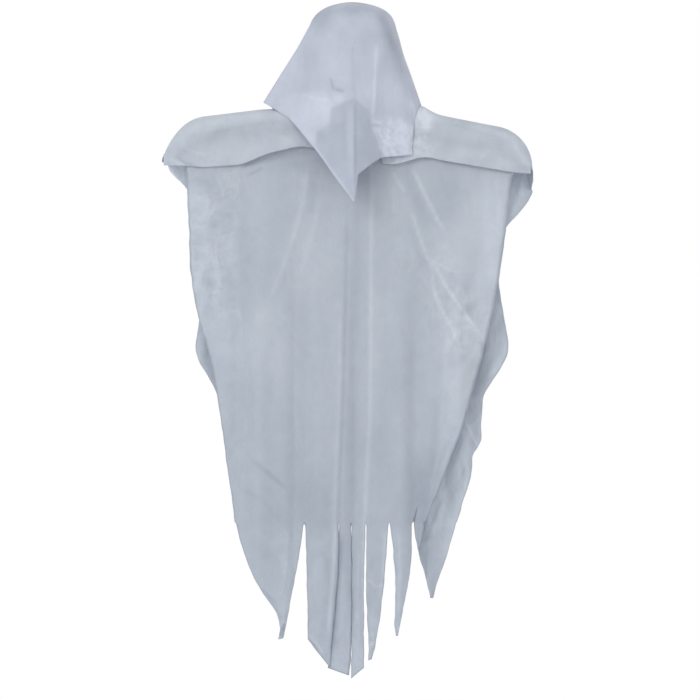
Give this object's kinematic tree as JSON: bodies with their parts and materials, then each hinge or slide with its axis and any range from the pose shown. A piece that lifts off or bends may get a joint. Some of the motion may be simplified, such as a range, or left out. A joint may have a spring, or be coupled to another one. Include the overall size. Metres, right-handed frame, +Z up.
{
  "type": "hanging fabric ghost",
  "caption": "Hanging ghost decoration: a hooded robe of sheer cloth over a foam head and a padded shoulder bar, with its hem cut into long tapering strips.",
  "frame": {"origin": "crown of the hood, the point that the ghost hangs from", "axes": "+Z up; the front with the hood's long corner faces -Y; +X to the right as the front is seen"},
  "size_m": [0.4902, 0.1522, 0.9009],
  "materials": {
    "head_foam": "white expanded foam, matte, bead grain",
    "peg_wood": "plain turned dowel",
    "bar_foam": "soft white foam roll, matte",
    "gown_cloth": "sheer white synthetic cloth, lightly crumpled",
    "hood_cloth": "sheer white synthetic cloth, lightly crumpled"
  },
  "bodies": {
    "root": {"head_ball": "head_foam", "neck_peg": "peg_wood", "shoulder_bar": "bar_foam", "front_gown": "gown_cloth", "back_gown": "gown_cloth", "hood": "hood_cloth"}
  },
  "joints": []
}
